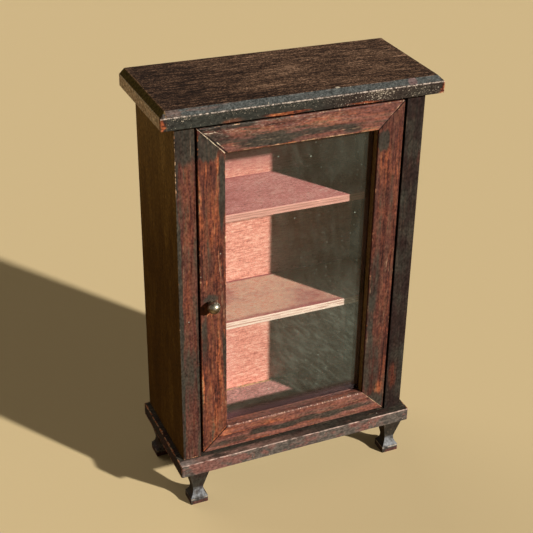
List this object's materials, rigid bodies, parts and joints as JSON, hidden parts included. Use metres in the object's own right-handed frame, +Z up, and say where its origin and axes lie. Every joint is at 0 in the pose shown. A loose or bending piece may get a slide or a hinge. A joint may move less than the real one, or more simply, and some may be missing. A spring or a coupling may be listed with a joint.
{
  "type": "thimble display case",
  "caption": "Small dark-stained wooden display case with a mitred glazed door, a ball knob, pink shelves and back, and coved feet.",
  "frame": {"origin": "on the ground, under the middle of the whole object's box", "axes": "+Z up, -Y out of the glazed front, +X to the right as one faces it"},
  "size_m": [0.1142, 0.0507, 0.178],
  "materials": {
    "dark_stained_wood": "worn dark mahogany stain over a reddish wood, satin",
    "pink_back_panel": "salmon wash over fine horizontal grain, matt",
    "pink_shelf": "dusky pink wash over fine lengthwise grain, satin",
    "clear_glass": "clear picture glass",
    "aged_brass": "aged, brown-toned",
    "steel_pin": "plain wire",
    "bare_dowel": "unfinished"
  },
  "bodies": {
    "case": {"back_panel": "pink_back_panel", "back_panel_pins": "steel_pin", "base_board": "dark_stained_wood", "base_board_pins": "steel_pin", "foot_back_left": "dark_stained_wood", "foot_back_right": "dark_stained_wood", "foot_front_left": "dark_stained_wood", "foot_front_right": "dark_stained_wood", "foot_pins": "steel_pin", "left_side_panel": "dark_stained_wood", "lower_hinge_pin": "steel_pin", "lower_hinge_washer": "aged_brass", "lower_shelf": "pink_shelf", "right_side_panel": "dark_stained_wood", "top_board": "dark_stained_wood", "top_board_dowels": "bare_dowel", "upper_hinge_pin": "steel_pin", "upper_shelf": "pink_shelf"},
    "door": {"door_bottom_rail": "dark_stained_wood", "door_corner_pins": "steel_pin", "door_glass": "clear_glass", "door_left_stile": "dark_stained_wood", "door_right_stile": "dark_stained_wood", "door_top_rail": "dark_stained_wood", "knob": "aged_brass"}
  },
  "joints": [
    {"name": "door_hinge", "type": "hinge", "parent": "case", "child": "door", "pos_m": [0.04035, -0.01775, 0.0959], "axis": [0, 0, 1], "range_deg": [0, 110]}
  ]
}
